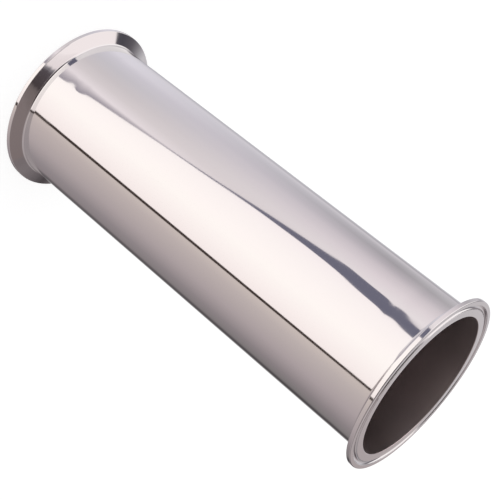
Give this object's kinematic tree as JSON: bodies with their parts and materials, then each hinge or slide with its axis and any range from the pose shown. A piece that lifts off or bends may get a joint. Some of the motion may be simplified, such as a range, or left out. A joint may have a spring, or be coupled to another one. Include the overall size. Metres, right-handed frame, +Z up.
{
  "type": "sanitary spool pipe",
  "caption": "Straight polished stainless steel spool: a thin-walled tube with a turned clamp ferrule welded flush to each end, for joining hygienic pipework with gaskets and ring clamps.",
  "frame": {"origin": "centre of the lower ferrule's face, which the pipe stands on", "axes": "+Z up along the bore's axis, towards the upper ferrule; X and Y lie in the lower face, and the pipe is round about Z"},
  "size_m": [0.119, 0.119, 0.3048],
  "materials": {
    "tube_steel": "polished outside, ground and polished flush at the welds, duller inside the bore",
    "ferrule_steel": "turned and polished"
  },
  "bodies": {
    "root": {"lower_ferrule": "ferrule_steel", "tube": "tube_steel", "upper_ferrule": "ferrule_steel"}
  },
  "joints": []
}
